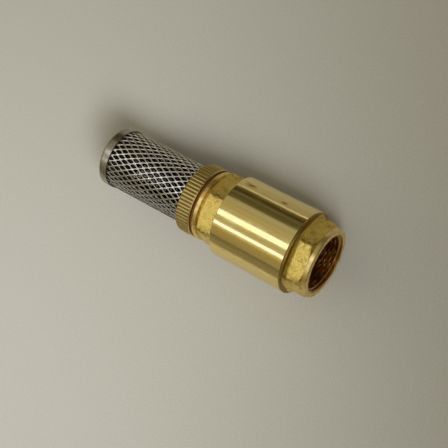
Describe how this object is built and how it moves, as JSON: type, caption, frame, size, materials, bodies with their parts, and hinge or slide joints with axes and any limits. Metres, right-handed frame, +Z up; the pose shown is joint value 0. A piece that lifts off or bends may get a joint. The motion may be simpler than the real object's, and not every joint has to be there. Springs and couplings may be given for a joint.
{
  "type": "foot valve",
  "caption": "Spring-loaded brass foot valve: hexagonal inlet and outlet, turned barrel, screwed-in stainless expanded-metal strainer with knurled collar and end cap.",
  "frame": {"origin": "middle of the valve's box, at the bottom of the barrel it lies on", "axes": "+X along the valve's axis towards the outlet, +Z up"},
  "size_m": [0.141, 0.047, 0.047],
  "materials": {
    "turned_brass": "turned bright, fine circumferential lines",
    "cast_brass": "sand-cast matt with machined ends",
    "knurled_brass": "straight knurl",
    "expanded_steel": "expanded stainless sheet, satin strands",
    "cap_steel": "pressed stainless, satin",
    "spring_steel": "drawn stainless wire and pressed rings",
    "nitrile": "moulded",
    "guide_plastic": "moulded acetal",
    "red_fibre": "vulcanised fibre"
  },
  "bodies": {
    "valve": {"valve_body": "turned_brass", "outlet_end_piece": "cast_brass", "end_piece_o_ring": "nitrile", "inlet_guide": "guide_plastic", "outlet_guide": "guide_plastic", "inlet_snap_ring": "spring_steel", "outlet_snap_ring": "spring_steel", "spring_seat": "spring_steel", "closing_spring": "spring_steel"},
    "poppet": {"poppet_plate": "cast_brass", "poppet_stem": "spring_steel", "poppet_seal": "nitrile", "seal_retainer": "cast_brass", "lock_washer": "spring_steel", "poppet_nut": "spring_steel"},
    "washer": {"collar_washer": "red_fibre"},
    "strainer": {"strainer_collar": "knurled_brass", "sleeve_clamp_ring": "cap_steel", "mesh_sleeve": "expanded_steel", "strainer_end_cap": "cap_steel"}
  },
  "joints": [
    {"name": "poppet_lift", "type": "slide", "parent": "valve", "child": "poppet", "axis": [1, 0, 0], "range_m": [0, 0.008], "stiffness_N_per_m": 85, "springref_m": -0.015, "deforming": ["closing_spring"]},
    {"name": "strainer_travel", "type": "slide", "parent": "valve", "child": "washer", "axis": [-1, 0, 0], "range_m": [0, 0.00866]},
    {"name": "strainer_screw", "type": "hinge", "parent": "washer", "child": "strainer", "pos_m": [-0.0036, 0, 0.0235], "axis": [-1, 0, 0], "range_deg": [0, 1350]}
  ],
  "couplings": [
    {"joint": "strainer_travel", "follows": "strainer_screw", "m_per_rad": 0.00036749}
  ]
}
